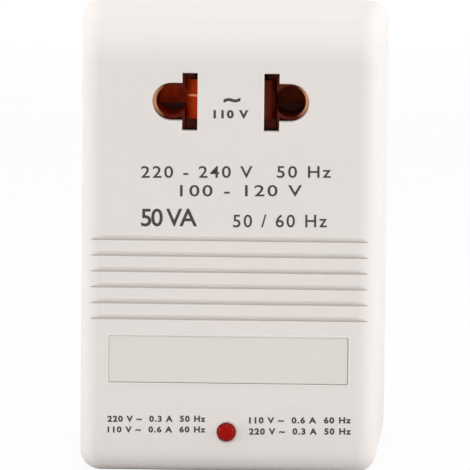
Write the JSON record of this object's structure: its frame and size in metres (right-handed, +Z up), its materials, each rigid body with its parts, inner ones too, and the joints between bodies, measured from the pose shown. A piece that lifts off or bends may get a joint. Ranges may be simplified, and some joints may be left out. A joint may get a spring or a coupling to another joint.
{
  "type": "travel voltage converter",
  "caption": "Small upright box converter with a universal socket, louvre grooves, label plate and red lamp on its front, and a fold-out flat-blade plug behind.",
  "frame": {"origin": "middle of the flat bottom end, on which the box stands", "axes": "+X to the right seen from the front, +Y from the front face towards the back, +Z up"},
  "size_m": [0.0506, 0.0429, 0.0733],
  "materials": {
    "housing_shell": "fine satin, moulded",
    "label": "matt grey label stock",
    "lamp": "clear-edged diffusing epoxy, red",
    "contact_copper": "bright phosphor bronze",
    "nickel": "nickel plated",
    "steel": "zinc plated steel",
    "lamination": "varnished sheet edges",
    "winding_copper": "enamelled wire",
    "tape": "polyester film tape",
    "insulator": "moulded insulator",
    "board": "paper-based board",
    "resistor": "lacquered",
    "fuse": "lacquered case",
    "lead_insulation": "PVC insulation",
    "plug_plastic": "moulded, matt"
  },
  "bodies": {
    "housing": {"front_housing": "housing_shell", "rear_cover": "housing_shell", "label_plate": "label", "lamp_lens": "lamp", "lamp_leads": "steel", "lamp_board": "board", "lamp_resistor": "resistor", "socket_contact_left": "contact_copper", "socket_contact_right": "contact_copper", "contact_holder": "insulator", "holder_screws": "steel", "keeper_screws": "steel", "shell_screws": "steel", "core_e_stack": "lamination", "core_i_stack": "lamination", "bobbin": "insulator", "inner_winding": "winding_copper", "outer_winding": "winding_copper", "winding_tape": "tape", "terminal_pins": "nickel", "thermal_fuse": "fuse", "plug_keeper": "insulator", "plug_spring_left": "contact_copper", "plug_spring_right": "contact_copper", "selector_case": "steel", "selector_floor": "insulator", "selector_terminals": "nickel", "socket_leads": "lead_insulation", "plug_lead": "lead_insulation"},
    "plug": {"plug_drum": "plug_plastic", "plug_blade_left": "nickel", "plug_blade_right": "nickel"},
    "selector": {"selector_knob": "plug_plastic", "selector_bridge": "contact_copper"}
  },
  "joints": [
    {"name": "plug_hinge", "type": "hinge", "parent": "housing", "child": "plug", "pos_m": [0, 0.016, 0.06], "axis": [1, 0, 0], "range_deg": [0, 90]},
    {"name": "selector_slide", "type": "slide", "parent": "housing", "child": "selector", "axis": [0, 0, 1], "range_m": [0, 0.004]}
  ]
}
